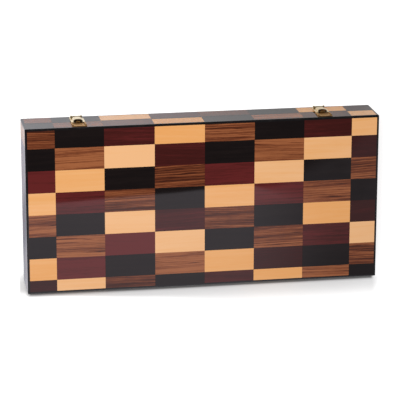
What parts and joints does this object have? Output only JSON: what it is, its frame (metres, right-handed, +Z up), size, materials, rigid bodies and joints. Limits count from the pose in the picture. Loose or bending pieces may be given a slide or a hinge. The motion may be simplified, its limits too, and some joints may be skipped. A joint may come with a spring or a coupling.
{
  "type": "backgammon set",
  "caption": "Folding wooden backgammon case with a chequered wood inlay, brass hinges and latches, playing fields, trays, checkers, dice cups, dice and doubling cube.",
  "frame": {"origin": "middle of the closed case's bounding box on the table, at the big face of the base", "axes": "+X along the case (the picture's left to right), +Y towards the latches, +Z up from the base's big face to the lid's big face"},
  "size_m": [0.4826, 0.2374, 0.0609],
  "materials": {
    "walnut": "streaked walnut under high-gloss clear lacquer",
    "black_wood": "black wood under high-gloss clear lacquer",
    "burgundy_wood": "burgundy-dyed wood under high-gloss clear lacquer",
    "maple": "cream maple under high-gloss clear lacquer",
    "black_banding": "black lacquered edge strips, high gloss",
    "rail_wood": "dark stained, satin lacquer",
    "panel_core": "plain board core, not seen from outside",
    "field_walnut": "walnut playing field, satin lacquer",
    "point_maple": "maple inlay, satin lacquer",
    "point_black": "black wood inlay, satin lacquer",
    "felt": "burgundy felt",
    "brass": "polished brass",
    "brass_fasteners": "brass, lightly aged",
    "cup_leather": "dark leather over a stiff wall",
    "checker_light": "turned maple, satin",
    "checker_dark": "turned black wood, satin",
    "dice_light": "ivory coloured",
    "dice_dark": "burgundy"
  },
  "bodies": {
    "base": {"base_panel": "panel_core", "base_hinge_rail": "rail_wood", "base_latch_rail": "rail_wood", "base_left_rail": "rail_wood", "base_right_rail": "rail_wood", "base_rim": "black_banding", "base_edge_banding": "black_banding", "base_inlay_walnut": "walnut", "base_inlay_black": "black_wood", "base_inlay_burgundy": "burgundy_wood", "base_inlay_maple": "maple", "base_playing_field": "field_walnut", "base_points_light": "point_maple", "base_points_dark": "point_black", "base_tray_divider": "rail_wood", "base_tray_lining": "felt", "base_hinge_screws": "brass_fasteners", "left_hinge_base_leaf": "brass", "right_hinge_base_leaf": "brass", "left_hinge_pin": "brass_fasteners", "right_hinge_pin": "brass_fasteners", "left_latch_plate": "brass", "right_latch_plate": "brass", "left_latch_pin": "brass_fasteners", "right_latch_pin": "brass_fasteners", "plate_nails": "brass_fasteners"},
    "lid": {"lid_panel": "panel_core", "lid_hinge_rail": "rail_wood", "lid_latch_rail": "rail_wood", "lid_left_rail": "rail_wood", "lid_right_rail": "rail_wood", "lid_rim": "black_banding", "lid_edge_banding": "black_banding", "lid_inlay_walnut": "walnut", "lid_inlay_black": "black_wood", "lid_inlay_burgundy": "burgundy_wood", "lid_inlay_maple": "maple", "lid_playing_field": "field_walnut", "lid_points_light": "point_maple", "lid_points_dark": "point_black", "lid_tray_divider": "rail_wood", "lid_tray_lining": "felt", "lid_hinge_screws": "brass_fasteners", "left_hinge_lid_leaf": "brass", "right_hinge_lid_leaf": "brass", "left_latch_catch": "brass", "right_latch_catch": "brass", "catch_nails": "brass_fasteners"},
    "left_hasp": {"left_latch_hasp": "brass"},
    "right_hasp": {"right_latch_hasp": "brass"},
    "light_checkers": {"light_checkers": "checker_light"},
    "dark_checkers": {"dark_checkers": "checker_dark"},
    "left_cup": {"left_dice_cup": "cup_leather", "left_cup_lining": "felt", "light_dice": "dice_light"},
    "right_cup": {"right_dice_cup": "cup_leather", "right_cup_lining": "felt", "dark_dice": "dice_dark"},
    "doubling_cube": {"doubling_cube": "dice_light"}
  },
  "joints": [
    {"name": "lid_hinge", "type": "hinge", "parent": "base", "child": "lid", "pos_m": [0, -0.1151, 0.03045], "axis": [1, 0, 0], "range_deg": [0, 180]},
    {"name": "left_hasp_pivot", "type": "hinge", "parent": "base", "child": "left_hasp", "pos_m": [-0.1673, 0.1176, 0.01395], "axis": [-1, 0, 0], "range_deg": [0, 110]},
    {"name": "right_hasp_pivot", "type": "hinge", "parent": "base", "child": "right_hasp", "pos_m": [0.1673, 0.1176, 0.01395], "axis": [-1, 0, 0], "range_deg": [0, 110]},
    {"name": "light_checkers_slide", "type": "slide", "parent": "base", "child": "light_checkers", "axis": [1, 0, 0], "range_m": [0, 0.08]},
    {"name": "dark_checkers_slide", "type": "slide", "parent": "base", "child": "dark_checkers", "axis": [-1, 0, 0], "range_m": [0, 0.08]},
    {"name": "left_cup_slide", "type": "slide", "parent": "base", "child": "left_cup", "axis": [1, 0, 0], "range_m": [0, 0.12]},
    {"name": "right_cup_slide", "type": "slide", "parent": "base", "child": "right_cup", "axis": [-1, 0, 0], "range_m": [0, 0.12]},
    {"name": "doubling_cube_slide", "type": "slide", "parent": "base", "child": "doubling_cube", "axis": [1, 0, 0], "range_m": [-0.03, 0.03]}
  ]
}
